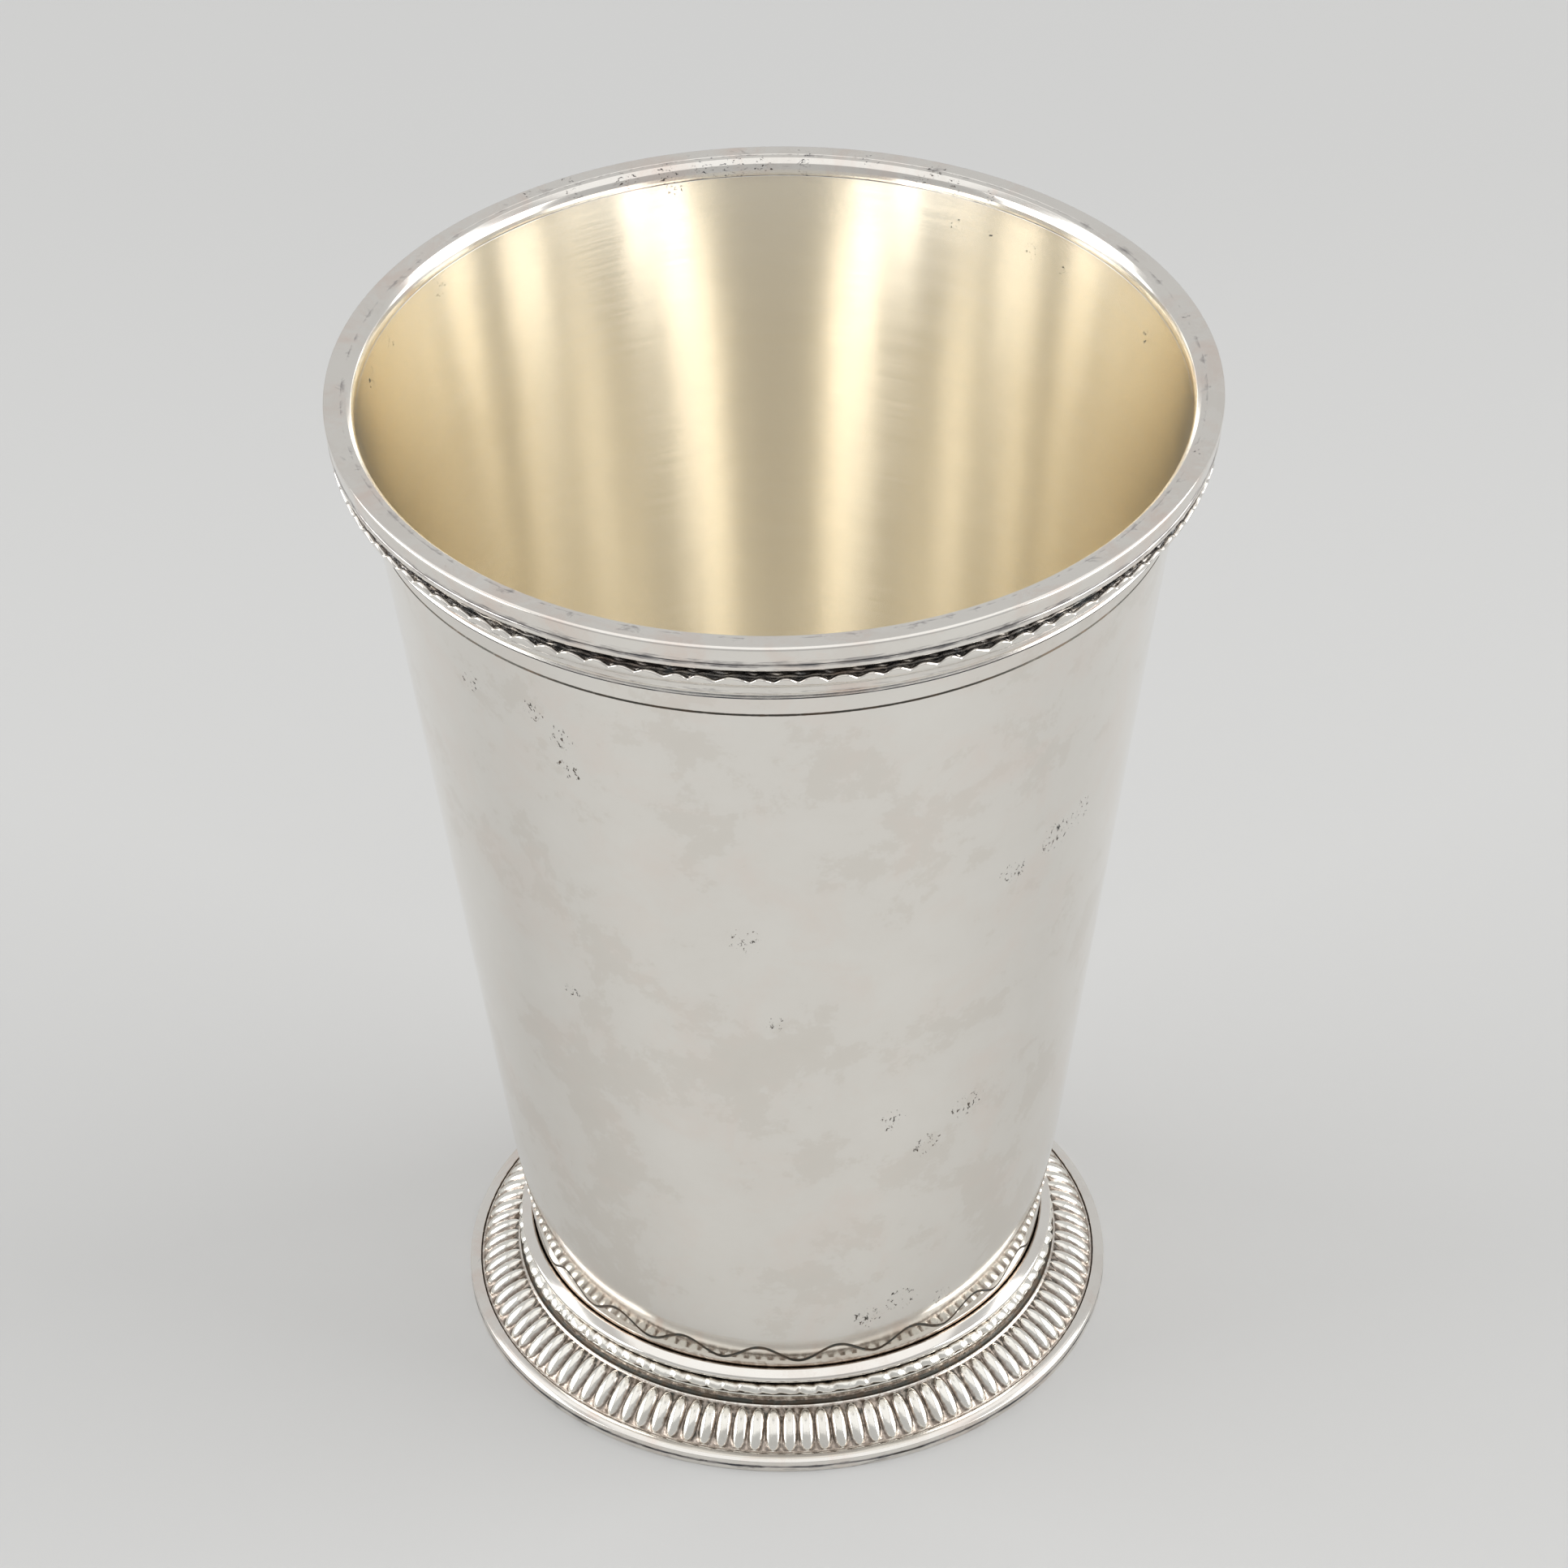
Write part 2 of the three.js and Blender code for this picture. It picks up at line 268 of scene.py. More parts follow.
def silverMetal(name, look):
    # one silver surface: a cloudy film of tarnish, dark marks in spots, stain and then black oxide as the
    # attribute "gap" rises, and fine lines from brushing round the axis
    material = bpy.data.materials.new(name)
    material.use_nodes = True
    tree = material.node_tree
    shader = tree.nodes["Principled BSDF"]
    coords = addNode(tree, "ShaderNodeTexCoord").outputs["Object"]
    # the patterns: size in mm, detail, roughness, distortion, and above 1 drawn out round the axis
    patterns = {
        "cloud": (look["cloud"], 8, 0.7, 0.1, 1), "blush": (look["cloud"] * 0.7, 6, 0.65, 0.5, 1),
        "fleck": (look["fleck"], 4, 0.7, 0.5, look["fleckFlat"]),
        "tear": (look["ragged"], 4, 0.65, 0.6, look["raggedFlat"]),
        "brown": (look["ragged"] * 2, 2, 0.55, 0, 1), "dent": (look["dent"], 2, 0.55, 0, 1)}
    if "lining" in look:
        patterns["wear"] = (look["wearSize"], 3, 0.55, 0, 1)
    noise = {}
    for key, (patternSize, detail, patternRoughness, distortion, flat) in patterns.items():
        drawn = addNode(tree, "ShaderNodeMapping", {"Vector": coords, "Scale": (1, 1, flat)})
        noise[key] = addNode(tree, "ShaderNodeTexNoise", {
            "Vector": drawn, "Scale": 1 / (patternSize * mm), "Detail": detail,
            "Roughness": patternRoughness, "Distortion": distortion})
    # cloudy film, with a blotch edge here and there, and a warmer blush
    soft = addNode(tree, "ShaderNodeMapRange", {"Value": noise["cloud"], "From Min": 0.3, "From Max": 0.7})
    crisp = addNode(tree, "ShaderNodeMapRange", {"Value": noise["cloud"], "From Min": 0.53, "From Max": 0.56})
    softShare = addNode(tree, "ShaderNodeMath", (soft, 1 - look["edge"]), operation="MULTIPLY")
    film = addNode(tree, "ShaderNodeMath", (crisp, look["edge"], softShare), operation="MULTIPLY_ADD")
    filmed = addNode(tree, "ShaderNodeMix", {"Factor": film, "A": hexColour(look["clean"]),
                                             "B": hexColour(look["film"])}, data_type="RGBA")
    blush = addNode(tree, "ShaderNodeMapRange", {"Value": noise["blush"], "From Min": 0.5, "From Max": 0.68,
                                                 "To Max": look["blushShare"]})
    blushed = addNode(tree, "ShaderNodeMix", {"Factor": blush, "A": filmed.outputs[2],
                                              "B": hexColour(look["blush"])}, data_type="RGBA")
    # dark marks: small irregular flecks, thick inside the spots and rare elsewhere
    spots = spotMask(tree, coords, look["spots"])
    limit = addNode(tree, "ShaderNodeMath", (spots, -look["spotGain"], look["rarity"]),
                    operation="MULTIPLY_ADD")
    over = addNode(tree, "ShaderNodeMath", (noise["fleck"], limit), operation="SUBTRACT")
    mark = addNode(tree, "ShaderNodeMapRange", {"Value": over, "From Max": 0.03})
    # stain and oxide in the gaps, with a ragged edge
    gap = addNode(tree, "ShaderNodeAttribute", attribute_name="gap")
    tear = addNode(tree, "ShaderNodeMath", (noise["tear"], 0.5), operation="SUBTRACT")
    ragged = addNode(tree, "ShaderNodeMath", (tear, look["raggedShare"], gap.outputs["Fac"]),
                     operation="MULTIPLY_ADD")
    stain = addNode(tree, "ShaderNodeMapRange", {"Value": ragged, "From Min": look["stainFrom"],
                                                 "From Max": look["stainTo"]})
    oxide = addNode(tree, "ShaderNodeMapRange", {"Value": ragged, "From Min": look["oxideFrom"],
                                                 "From Max": look["oxideTo"]})
    brown = addNode(tree, "ShaderNodeMapRange", {"Value": noise["brown"], "From Min": 0.45, "From Max": 0.6})
    oxideColour = addNode(tree, "ShaderNodeMix", {"Factor": brown, "A": hexColour(look["oxideGrey"]),
                                                  "B": hexColour(look["oxideBrown"])}, data_type="RGBA")
    dark = addNode(tree, "ShaderNodeMath", (mark, oxide), operation="MAXIMUM")
    stained = addNode(tree, "ShaderNodeMix", {"Factor": stain, "A": blushed.outputs[2],
                                              "B": hexColour(look["stain"])}, data_type="RGBA")
    colour = addNode(tree, "ShaderNodeMix", {"Factor": dark, "A": stained.outputs[2],
                                             "B": oxideColour.outputs[2]}, data_type="RGBA")
    if "lining" in look:
        # bare silver near the lip, gilt below
        height = addNode(tree, "ShaderNodeSeparateXYZ", (coords,)).outputs["Z"]
        worn = addNode(tree, "ShaderNodeMath", (noise["wear"], look["wearHeight"] * mm, height),
                       operation="MULTIPLY_ADD")
        bare = addNode(tree, "ShaderNodeMapRange", {
            "Value": worn, "From Min": (look["bareFrom"] - look["bareSpread"]) * mm,
            "From Max": look["bareFrom"] * mm})
        gold = addNode(tree, "ShaderNodeMix", {"Factor": dark, "A": hexColour(look["lining"]),
                                               "B": oxideColour.outputs[2]}, data_type="RGBA")
        colour = addNode(tree, "ShaderNodeMix", {"Factor": bare, "A": gold.outputs[2],
                                                 "B": colour.outputs[2]}, data_type="RGBA")
    # lines round the axis, drawn coarser than the real ones, which are about 0.02 mm, so that they show
    scale = (look["lineTurns"], look["lineTurns"], 1 / (look["line"] * mm))
    stretched = addNode(tree, "ShaderNodeMapping", {"Vector": coords, "Scale": scale})
    lines = addNode(tree, "ShaderNodeTexNoise", {
        "Vector": stretched, "Scale": 1, "Detail": 3, "Roughness": 0.6})
    lined = addNode(tree, "ShaderNodeMapRange", {
        "Value": lines, "From Min": 0.3, "From Max": 0.7,
        "To Min": look["roughness"] * (1 - look["lineShare"]),
        "To Max": look["roughness"] * (1 + look["lineShare"])})
    dulled = addNode(tree, "ShaderNodeMath", (film, look["filmRoughness"], lined), operation="MULTIPLY_ADD")
    rough = addNode(tree, "ShaderNodeMath", (dark, look["oxideRoughness"], dulled), operation="MULTIPLY_ADD")
    fine = addNode(tree, "ShaderNodeBump", {
        "Height": lines, "Strength": 1, "Distance": look["lineDepth"] * mm})
    uneven = addNode(tree, "ShaderNodeBump", {"Height": noise["dent"], "Strength": 1,
                                              "Distance": look["dentDepth"] * mm, "Normal": fine})
    tangent = addNode(tree, "ShaderNodeTangent", direction_type="RADIAL", axis="Z")
    tree.links.new(colour.outputs[2], shader.inputs["Base Color"])
    tree.links.new(rough.outputs[0], shader.inputs["Roughness"])
    tree.links.new(uneven.outputs[0], shader.inputs["Normal"])
    tree.links.new(tangent.outputs[0], shader.inputs["Tangent"])
    shader.inputs["Metallic"].default_value = 1
    shader.inputs["Anisotropic"].default_value = look["brushed"]
    shader.inputs["Anisotropic Rotation"].default_value = 0.25  # lines run round, so blur runs up and down
    return material


# what all the finishes share: sizes in mm, colours in sRGB hex, lineTurns per metre, the rest shares of one
common = {"clean": "f1eee8", "film": "ebe6df", "blush": "efe3da", "blushShare": 0.3, "cloud": 26, "edge": 0.3,
          "spots": (), "spotGain": 0.19, "fleck": 0.5, "fleckFlat": 1, "rarity": 0.8,
          "ragged": 0.8, "raggedFlat": 1, "raggedShare": 0.9,
          "stainFrom": 0.3, "stainTo": 0.6, "stain": "bdafa3",
          "oxideFrom": 0.6, "oxideTo": 0.9, "oxideGrey": "53534e", "oxideBrown": "62574c",
          "line": 0.3, "lineTurns": 60, "lineShare": 0.15, "lineDepth": 0.0006,
          "dent": 9, "dentDepth": 0.01, "roughness": 0.05, "filmRoughness": 0.025, "oxideRoughness": 0.3,
          "brushed": 0.4}

# hand-polished sterling silver: a soft mirror, clouded warm and cool by a thin film of tarnish, with
# clusters of small black-brown pits
polishedSterling = silverMetal("polishedSterling", {
    **common, "cloud": 15, "edge": 0.45, "film": "e7e2da", "blushShare": 0.4, "spotGain": 0.215,
    "fleckFlat": 0.6, "lineDepth": 0.0009,
    "spots": ((-33.5, -28.9, 109, 2.4), (-26.7, -35.5, 109.8, 2.6), (-23.7, -37.1, 107, 2.4),
              (-23, -36.8, 102.7, 2.4), (-23.8, -30.3, 66.4, 1.8), (-3.9, -40.3, 81.2, 3),
              (-0.9, -38.7, 68.1, 1.8), (25.9, -31.5, 83.4, 2.8), (30.6, -27.3, 85.3, 3.4),
              (33.4, -23.9, 86, 2.8), (16.5, -31.5, 44, 3), (12.3, -34.2, 50, 2.4),
              (20.7, -29.6, 48.4, 3), (18.1, -26.1, 15.9, 2.4), (13.3, -29.2, 18.3, 3),
              (9.4, -30.4, 16.5, 2.8))})

# the inside, washed with pale gold and polished round and round: bright streaks run up it, the gold
# has worn off below the lip and a few dark marks sit there
paleGilding = silverMetal("paleGilding", {
    **common, "lining": "f9f5ec", "bareFrom": 127.2, "bareSpread": 1.6, "wearHeight": 1.2, "wearSize": 4,
    "spotGain": 0.21,
    "spots": ((-11.3, 45, 125.4, 1.6), (3.3, 46, 124.2, 1.2), (21.6, 40.5, 122.6, 1.2),
              (25.8, 38, 122.5, 1.4), (29.9, 34.8, 122.5, 1.6), (33.5, 31.2, 121.8, 1.6),
              (42.4, 17.2, 122.1, 1.8), (-43.2, 16, 123.9, 1.8), (-45.2, 8.8, 123.8, 2),
              (-38, 26.1, 124.3, 1.6)),
    "roughness": 0.16, "filmRoughness": 0, "brushed": 0.9, "lineDepth": 0.001,
    "dent": 11, "dentDepth": 0.025})

# satin sterling silver on the rim, the collar and the foot's edge: the same metal left finely brushed,
# with long smears of grey tarnish and a few black marks
satinSterling = silverMetal("satinSterling", {
    **common, "blush": "ecdbd0", "blushShare": 0.65, "cloud": 12,
    "spots": ((3.9, 48.2, 128, 1.2), (46.1, -14.3, 128, 1.3), (46.3, 12.6, 128, 0.9),
              (-23.5, 43, 128, 1.2), (-28.1, 40, 128, 1.2), (11.9, 46.5, 128, 1.8),
              (19.4, 43.9, 128, 1.8), (-22.8, 41.1, 126.9, 1.8), (-16.8, 43.9, 126.9, 2.2),
              (-12.2, 45.4, 126.9, 2.2), (-7.4, 46.4, 126.9, 2.6),
              (-4.1, 46.8, 126.9, 2.4), (-0.8, 47, 126.9, 1.8), (4.1, 46.8, 126.9, 1.6),
              (17.6, 43.6, 126.9, 1.6), (21.3, 41.9, 126.9, 1.6), (25.6, 39.4, 126.9, 1.6)),
    "fleckFlat": 2, "spotGain": 0.21, "ragged": 3, "raggedFlat": 6, "raggedShare": 1.5, "stain": "aeaaa8",
    "oxideGrey": "4b4f54", "oxideBrown": "57524e", "roughness": 0.14, "brushed": 0.5, "dentDepth": 0.004})

# sterling silver ornament on the foot: crests burnished bright, gaps left with grey-brown oxide
oxidisedSterling = silverMetal("oxidisedSterling", {
    **common, "clean": "f8f6ef", "film": "efebe2", "blushShare": 0.15, "cloud": 5, "roughness": 0.18,
    "brushed": 0, "fleck": 0.7, "dent": 1.1, "dentDepth": 0.03, "lineDepth": 0})

# the same on the scalloped wire, where the oxide is slate grey and lies in long streaks
scallopedSterling = silverMetal("scallopedSterling", {
    **common, "cloud": 5, "ragged": 2, "raggedFlat": 5, "raggedShare": 1.6, "stain": "b4b3b4",
    "oxideGrey": "6c737a", "oxideBrown": "5e5e60", "roughness": 0.1, "brushed": 0, "dent": 0.9,
    "dentDepth": 0.01, "lineDepth": 0})

# plain sterling wire, burnished to a mirror
burnishedSterling = silverMetal("burnishedSterling", {
    **common, "clean": "f5f2ec", "film": "ece6de", "cloud": 8, "roughness": 0.1, "brushed": 0.2,
    "dentDepth": 0.004})
print("metals mixed")


# Rings turned from a section

def turned(name, corners, material, columns=480):
    # corners are (radius, height, fillet, gap); gap says how much oxide sits there
    outline, gaps, steps = [], [], 6  # steps round each fillet
    for i, (r, z, fillet, gap) in enumerate(corners):
        here = Vector((r, z))
        if not fillet:
            outline.append((r, z))
            gaps.append(gap)
            continue
        before = Vector(corners[i - 1][:2]) - here
        after = Vector(corners[(i + 1) % len(corners)][:2]) - here
        start = here + before.normalized() * min(fillet, before.length * 0.5)
        end = here + after.normalized() * min(fillet, after.length * 0.5)
        for step in range(steps + 1):
            t = step / steps
            point = start * (1 - t) ** 2 + here * 2 * t * (1 - t) + end * t ** 2
            outline.append((point.x, point.y))
            gaps.append(gap)
    return meshPiece(name, ringPoints(outline, columns), ringFaces(len(outline), columns), [material],
                     gap=np.repeat(gaps, columns))


# Wall: rolled sheet with the engraved wave and line

wall = {"sheet": 0.6, "drawnIn": 0.42, "tuck": 1.0, "tuckTurn": 1.235, "tuckHeight": 17.4,
        "flare": 1.0, "flareHeight": 21.0, "liningFlare": 0.55,
        "lineDrop": 12.0, "lineWidth": 0.25, "lineDepth": 0.14,
        "waveHeight": 2.95, "waveSwing": 1.25, "waveReach": 1.8, "waves": 21, "waveTurn": -6.6,
        "waveWidth": 0.36, "waveDepth": 0.14, "tarnish": 0.6, "tarnishReach": 1.2, "columns": 840}
base, top = heights("cup_wall")
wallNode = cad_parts["cup_wall"]
wallEnds = (nodeRadius(wallNode, base) + wall["drawnIn"], nodeRadius(wallNode, top) - wall["flare"])


def wallRadius(z):
    # outside of the wall, for what sits on it
    footRadius, mouthRadius = wallEnds
    up = (z - base) / (top - base)
    low = max(0, 1 - (z - base) / wall["tuckHeight"])
    high = max(0, 1 - (top - z) / wall["flareHeight"])
    taper = footRadius + (mouthRadius - footRadius) * up
    tuck = wall["tuck"] * low ** 2 * (wall["tuckTurn"] - low)
    return taper - tuck + wall["flare"] * high ** 2


def liningRadius(z):
    # inside of the wall, where the sheet thickens towards the mouth
    high = max(0, 1 - (top - z) / wall["flareHeight"])
    return wallRadius(z) - wall["sheet"] - (wall["flare"] - wall["liningFlare"]) * high ** 2


def wallTree(material, inside):
    names = ["Base", "Top", "Base Radius", "Top Radius", "Tuck", "Tuck Turn", "Tuck Height", "Flare",
             "Flare Height", "Lining Flare", "Sheet", "Line", "Line Width", "Line Depth", "Wave",
             "Wave Swing", "Wave Reach", "Wave Turn", "Wave Width", "Wave Depth"]
    tree, given = newTree("Rolled wall", {**{name: 1.0 for name in names}, "Waves": 1})
    value = given.outputs
    nominal, angle, inner, edgeGap = (
        addNode(tree, "GeometryNodeInputNamedAttribute", {"Name": name}, data_type="FLOAT")
        for name in ("nominal", "angle", "inner", "gap"))
    # the rows near the wave rise and fall with it
    fromWave = addNode(tree, "ShaderNodeMath", (nominal, value["Wave"]), operation="SUBTRACT")
    nearWave = addNode(tree, "ShaderNodeMath", (fromWave,), operation="ABSOLUTE")
    envelope = addNode(tree, "ShaderNodeMapRange", {"Value": nearWave, "From Max": value["Wave Reach"],
                                                    "To Min": value["Wave Swing"], "To Max": 0})
    shifted = addNode(tree, "ShaderNodeMath", (angle, value["Wave Turn"]), operation="ADD")
    phase = addNode(tree, "ShaderNodeMath", (shifted, value["Waves"]), operation="MULTIPLY")
    swing = addNode(tree, "ShaderNodeMath", (phase,), operation="COSINE")
    height = addNode(tree, "ShaderNodeMath", (swing, envelope, nominal), operation="MULTIPLY_ADD")
    # taper, tuck at the foot and flare at the mouth
    taper = addNode(tree, "ShaderNodeMapRange", {
        "Value": height, "From Min": value["Base"], "From Max": value["Top"],
        "To Min": value["Base Radius"], "To Max": value["Top Radius"]})
    tuckTop = addNode(tree, "ShaderNodeMath", (value["Base"], value["Tuck Height"]), operation="ADD")
    low = addNode(tree, "ShaderNodeMapRange", {
        "Value": height, "From Min": tuckTop, "From Max": value["Base"]})
    lowSquare = addNode(tree, "ShaderNodeMath", (low, low), operation="MULTIPLY")
    turnShare = addNode(tree, "ShaderNodeMath", (value["Tuck Turn"], low), operation="SUBTRACT")
    turnOut = addNode(tree, "ShaderNodeMath", (turnShare, value["Tuck"]), operation="MULTIPLY")
    tuck = addNode(tree, "ShaderNodeMath", (lowSquare, turnOut), operation="MULTIPLY")
    flareBase = addNode(tree, "ShaderNodeMath", (value["Top"], value["Flare Height"]), operation="SUBTRACT")
    high = addNode(tree, "ShaderNodeMapRange", {
        "Value": height, "From Min": flareBase, "From Max": value["Top"]})
    highSquare = addNode(tree, "ShaderNodeMath", (high, high), operation="MULTIPLY")
    spread = addNode(tree, "ShaderNodeMix", {
        "Factor": inner, "A": value["Flare"], "B": value["Lining Flare"]})
    flared = addNode(tree, "ShaderNodeMath", (highSquare, spread, taper), operation="MULTIPLY_ADD")
    plain = addNode(tree, "ShaderNodeMath", (flared, tuck), operation="SUBTRACT")
    # the two engraved lines, cut into the outside only
    outside = addNode(tree, "ShaderNodeMath", (1, inner), operation="SUBTRACT")
    radius, gap = plain, edgeGap
    for middle, width, depth in (("Line", "Line Width", "Line Depth"), ("Wave", "Wave Width", "Wave Depth")):
        fromMiddle = addNode(tree, "ShaderNodeMath", (nominal, value[middle]), operation="SUBTRACT")
        across = addNode(tree, "ShaderNodeMath", (fromMiddle, value[width]), operation="DIVIDE")
        acrossSquare = addNode(tree, "ShaderNodeMath", (across, across), operation="MULTIPLY")
        cut = addNode(tree, "ShaderNodeMapRange", {
            "Value": acrossSquare, "From Max": 0.25, "To Min": value[depth], "To Max": 0})
        radius = addNode(tree, "ShaderNodeMath", (radius, cut), operation="SUBTRACT")
        aside = addNode(tree, "ShaderNodeMath", (across,), operation="ABSOLUTE")
        tarnish = addNode(tree, "ShaderNodeMapRange", {"Value": aside, "From Min": 0.5, "From Max": 0.95,
                                                       "To Min": outside, "To Max": 0})
        gap = addNode(tree, "ShaderNodeMath", (gap, tarnish), operation="MAXIMUM")
    lining = addNode(tree, "ShaderNodeMath", (plain, value["Sheet"]), operation="SUBTRACT")
    skin = addNode(tree, "ShaderNodeMix", {"Factor": inner, "A": radius, "B": lining})
    cosine = addNode(tree, "ShaderNodeMath", (angle,), operation="COSINE")
    sine = addNode(tree, "ShaderNodeMath", (angle,), operation="SINE")
    x = addNode(tree, "ShaderNodeMath", (cosine, skin), operation="MULTIPLY")
    y = addNode(tree, "ShaderNodeMath", (sine, skin), operation="MULTIPLY")
    point = addNode(tree, "ShaderNodeCombineXYZ", {"X": x, "Y": y, "Z": height})
    place = addNode(tree, "ShaderNodeVectorMath", {0: point, "Scale": mm}, operation="SCALE")
    moved = addNode(tree, "GeometryNodeSetPosition", {"Geometry": value["Geometry"], "Position": place})
    named = addNode(tree, "GeometryNodeStoreNamedAttribute", {"Geometry": moved, "Name": "gap", "Value": gap},
                    data_type="FLOAT")
    isInner = addNode(tree, "FunctionNodeCompare", {"A": inner, "B": 0.5}, operation="GREATER_THAN")
    outer = addNode(tree, "GeometryNodeSetMaterial", {"Geometry": named, "Material": material})
    closeTree(tree, addNode(tree, "GeometryNodeSetMaterial", {"Geometry": outer, "Selection": isInner,
                                                              "Material": inside}))
    return tree


def makeWall():
    line, wave = heights("mouth_rim")[1] - wall["lineDrop"], base + wall["waveHeight"]
    collarBase, ringTop = heights("collar_band")[0], heights("base_ring")[1]
    # rows of points, close together at the engraved lines and where something sits on the wall
    cutShares = (-0.95, -0.65, -0.5, -0.25, 0, 0.25, 0.5, 0.65, 0.95)
    besideShares = (-1, -0.8, -0.6, -0.4, 0.4, 0.6, 0.8, 1)
    outside = [base]
    for middle, apart in ((ringTop, (-0.2,)), (line, (-1, 1)), (collarBase, (-0.7, -0.2, 1)),
                          (top, (-3, -0.1, 0))):
        outside += [middle + offset for offset in apart]
    outside += [line + share * wall["lineWidth"] for share in cutShares]
    outside += [wave + share * wall["waveWidth"] for share in cutShares]
    outside += [wave + share * wall["waveReach"] for share in besideShares]
    outside += list(np.linspace(wave + wall["waveReach"] * 1.3, line - 3, 24))
    outside = sorted(outside)
    inside = [top, top - 0.03, top - 0.1] + list(top - np.linspace(0.5, wall["flareHeight"], 20))
    inside += list(np.linspace(top - wall["flareHeight"] - 4, base, 16))
    nominal = np.array(outside + inside)
    inner = np.array([0] * len(outside) + [1] * len(inside))
    away = np.minimum(collarBase - nominal, nominal - ringTop) / wall["tarnishReach"]
    dull = np.clip(wall["tarnish"] - away, 0, wall["tarnish"])
    columns = wall["columns"]
    angle = np.linspace(0, 2 * math.pi, columns, endpoint=False)
    rows = len(nominal)
    piece = meshPiece("cupWall", np.zeros((rows * columns, 3)), ringFaces(rows, columns), [],
                      nominal=np.repeat(nominal, columns), inner=np.repeat(inner, columns),
                      gap=np.repeat(dull * (1 - inner), columns), angle=np.tile(angle, rows))
    bakeTree(piece, wallTree(polishedSterling, paleGilding), {
        "Base": base, "Top": top, "Base Radius": wallEnds[0], "Top Radius": wallEnds[1],
        "Tuck": wall["tuck"], "Tuck Turn": wall["tuckTurn"], "Tuck Height": wall["tuckHeight"],
        "Flare": wall["flare"], "Flare Height": wall["flareHeight"], "Lining Flare": wall["liningFlare"],
        "Sheet": wall["sheet"], "Line": line, "Line Width": wall["lineWidth"],
        "Line Depth": wall["lineDepth"], "Wave": wave, "Wave Swing": wall["waveSwing"],
        "Wave Reach": wall["waveReach"], "Wave Turn": math.radians(wall["waveTurn"]),
        "Wave Width": wall["waveWidth"], "Wave Depth": wall["waveDepth"], "Waves": wall["waves"]})
    finishPiece(piece, "cup_wall")


makeWall()


# Bottom of the cup: a slightly domed disc

def makeBottom():
    disc = {"sheet": 1.2, "dome": 0.8, "flatRadius": 24, "rings": 16, "middle": 0.05, "clearance": 0.1}
    low = heights("cup_bottom")[0]
    upper = low + disc["sheet"]
    edgeRadius = outerRadius("cup_bottom")
    radii = np.linspace(edgeRadius, disc["middle"], disc["rings"])
    rise = disc["dome"] * np.clip(1 - (radii / disc["flatRadius"]) ** 2, 0, 1)
    above = [(r, upper + lift, 0, 0) for r, lift in zip(radii, rise)]
    below = [(r, low + lift, 0, 0) for r, lift in zip(radii, rise)][::-1]
    below[-1] = (liningRadius(low) - disc["clearance"], low, 0, 0)
    piece = turned("cupBottom", below + above, paleGilding, 240)
    finishPiece(piece, "cup_bottom")


makeBottom()


# Rim wire and collar

def makeRim():
    rim = {"flatWidth": 2.0, "corner": 0.5, "lip": 1.85, "seat": 3.2, "bead": 1.0, "beadLean": 0.45,
           "crease": 0.12, "creaseWidth": 0.26, "batter": 0.32, "beadDrop": 3.45,
           "collar": 0.63, "solder": 0.1,
           # out from the foot of the face, up from the crease, fillet, oxide
           "face": ((0.06, 0.4, 0, 0.3), (0.08, 0.5, 0, 0.48), (0.1, 0.6, 0, 0.2), (0.15, 0.9, 0, 0.1)),
           # out from the end of the flat, down from the top, fillet, oxide
           "step": ((0.1, 0, 0.05, 0.2), (0, 0.03, 0.05, 0.35), (-0.62, 0.09, 0.05, 0.1)),
           # out from the mouth, down from the top, fillet, oxide
           "bevel": ((0.47, 0.57, 0.12, 0), (0.42, 0.65, 0, 0.1), (0.33, 0.8, 0.1, 0.1),
                     (0.17, 1.17, 0.1, 0.1), (0.05, 1.6, 0.1, 0.15))}
    height, radius = heights("mouth_rim")[1], outerRadius("mouth_rim")
    seat, lip, drop = height - rim["seat"], height - rim["lip"], height - rim["beadDrop"]
    crease = drop + rim["bead"] + rim["creaseWidth"] / 2
    faceFoot = radius - rim["batter"]
    backing = wallRadius(seat) + rim["solder"]
    flatEnd = radius - rim["flatWidth"]
    mouth = liningRadius(top)
    section = [
        (backing, seat, 0, 1), (backing + rim["collar"], seat, 0, 0.8),
        (backing + rim["collar"] + 0.5, drop, 0.15, 0.7), (faceFoot - rim["beadLean"], drop, 0.35, 0.5),
        (faceFoot + 0.06, drop + rim["bead"] / 2, 0.5, 0.2),
        (faceFoot, crease - rim["creaseWidth"] / 2, 0.1, 0.5), (faceFoot - rim["crease"], crease, 0.05, 1),
        (faceFoot + 0.04, crease + rim["creaseWidth"] / 2, 0.1, 0.5)]
    section += [(faceFoot + out, crease + up, fillet, oxide) for out, up, fillet, oxide in rim["face"]]
    section.append((radius, height, rim["corner"], 0))
    section += [(flatEnd + out, height - down, fillet, oxide) for out, down, fillet, oxide in rim["step"]]
    section += [(mouth + out, height - down, fillet, oxide) for out, down, fillet, oxide in rim["bevel"]]
    section += [(mouth + 0.01, lip + 0.03, 0, 0.3), (mouth, lip, 0, 0.5),
                (wallRadius(top) + rim["solder"], lip, 0, 1)]
    finishPiece(turned("mouthRim", section, satinSterling, 600), "mouth_rim")


